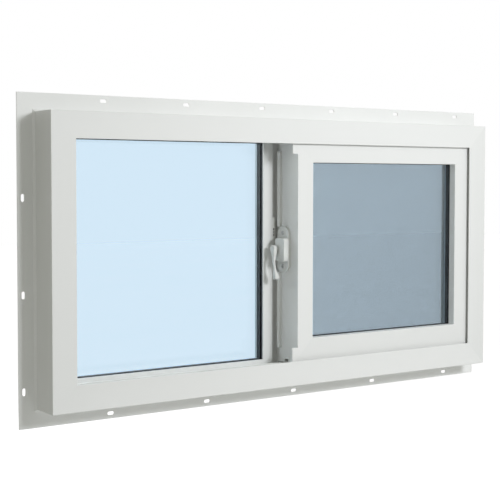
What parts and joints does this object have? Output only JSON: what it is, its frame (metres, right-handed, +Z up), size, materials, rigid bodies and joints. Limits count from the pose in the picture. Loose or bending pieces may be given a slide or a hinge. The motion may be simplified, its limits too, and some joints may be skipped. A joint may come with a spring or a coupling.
{
  "type": "sliding basement window",
  "caption": "Horizontal sliding window with a nail fin for a basement wall: a fixed lite beside a sliding sash with a lever lock, insulating glass and an insect screen.",
  "frame": {"origin": "on the bottom nail fin's wall-bearing face, which looks towards the room, at mid-width and half-way up that fin", "axes": "+X along the width towards the closed sash, +Y towards the outdoors, +Z up"},
  "size_m": [0.8508, 0.0826, 0.4508],
  "materials": {
    "frame_vinyl": "satin white vinyl",
    "sash_vinyl": "satin white vinyl",
    "track_plastic": "matte white plastic",
    "brush_pile": "light grey woven pile",
    "gasket_rubber": "matte dark grey-blue",
    "clear_glass": "clear",
    "spacer_black": "black",
    "lock_enamel": "gloss white enamel",
    "keeper_plastic": "grey-white",
    "screen_frame_enamel": "white enamel on aluminium",
    "screen_cloth": "charcoal glass-fibre mesh"
  },
  "bodies": {
    "frame": {"fixed_bead_bottom": "frame_vinyl", "fixed_bead_left": "frame_vinyl", "fixed_bead_right": "frame_vinyl", "fixed_bead_top": "frame_vinyl", "fixed_inner_gasket": "gasket_rubber", "fixed_inner_pane": "clear_glass", "fixed_outer_gasket": "gasket_rubber", "fixed_outer_pane": "clear_glass", "fixed_setting_blocks": "gasket_rubber", "fixed_spacer": "spacer_black", "frame_brush_strips": "brush_pile", "frame_head": "frame_vinyl", "frame_left_jamb": "frame_vinyl", "frame_right_jamb": "frame_vinyl", "frame_sill": "frame_vinyl", "head_guide_rail": "track_plastic", "lock_keeper": "keeper_plastic", "meeting_stile": "frame_vinyl", "meeting_stile_brush": "brush_pile", "nail_fin_bottom": "frame_vinyl", "nail_fin_left": "frame_vinyl", "nail_fin_right": "frame_vinyl", "nail_fin_top": "frame_vinyl", "screen_bar_bottom": "screen_frame_enamel", "screen_bar_left": "screen_frame_enamel", "screen_bar_right": "screen_frame_enamel", "screen_bar_top": "screen_frame_enamel", "screen_mesh": "screen_cloth", "screen_pull_tabs": "track_plastic", "sill_track_rail": "track_plastic"},
    "sash": {"sash_back_stile": "sash_vinyl", "sash_bead_bottom": "sash_vinyl", "sash_bead_left": "sash_vinyl", "sash_bead_right": "sash_vinyl", "sash_bead_top": "sash_vinyl", "sash_bottom_rail": "sash_vinyl", "sash_glides": "track_plastic", "sash_inner_pane": "clear_glass", "sash_interlock": "sash_vinyl", "sash_lock_stile": "sash_vinyl", "sash_outer_pane": "clear_glass", "sash_setting_blocks": "gasket_rubber", "sash_spacer": "spacer_black", "sash_top_rail": "sash_vinyl", "lock_base": "lock_enamel", "lock_housing": "lock_enamel"},
    "lever": {"lock_lever": "lock_enamel"}
  },
  "joints": [
    {"name": "sash_slide", "type": "slide", "parent": "frame", "child": "sash", "axis": [-1, 0, 0], "range_m": [0, 0.345]},
    {"name": "lever_turn", "type": "hinge", "parent": "sash", "child": "lever", "pos_m": [-0.00925, -0.0064, 0.21782], "axis": [-1, 0, 0], "range_deg": [0, 170]}
  ]
}
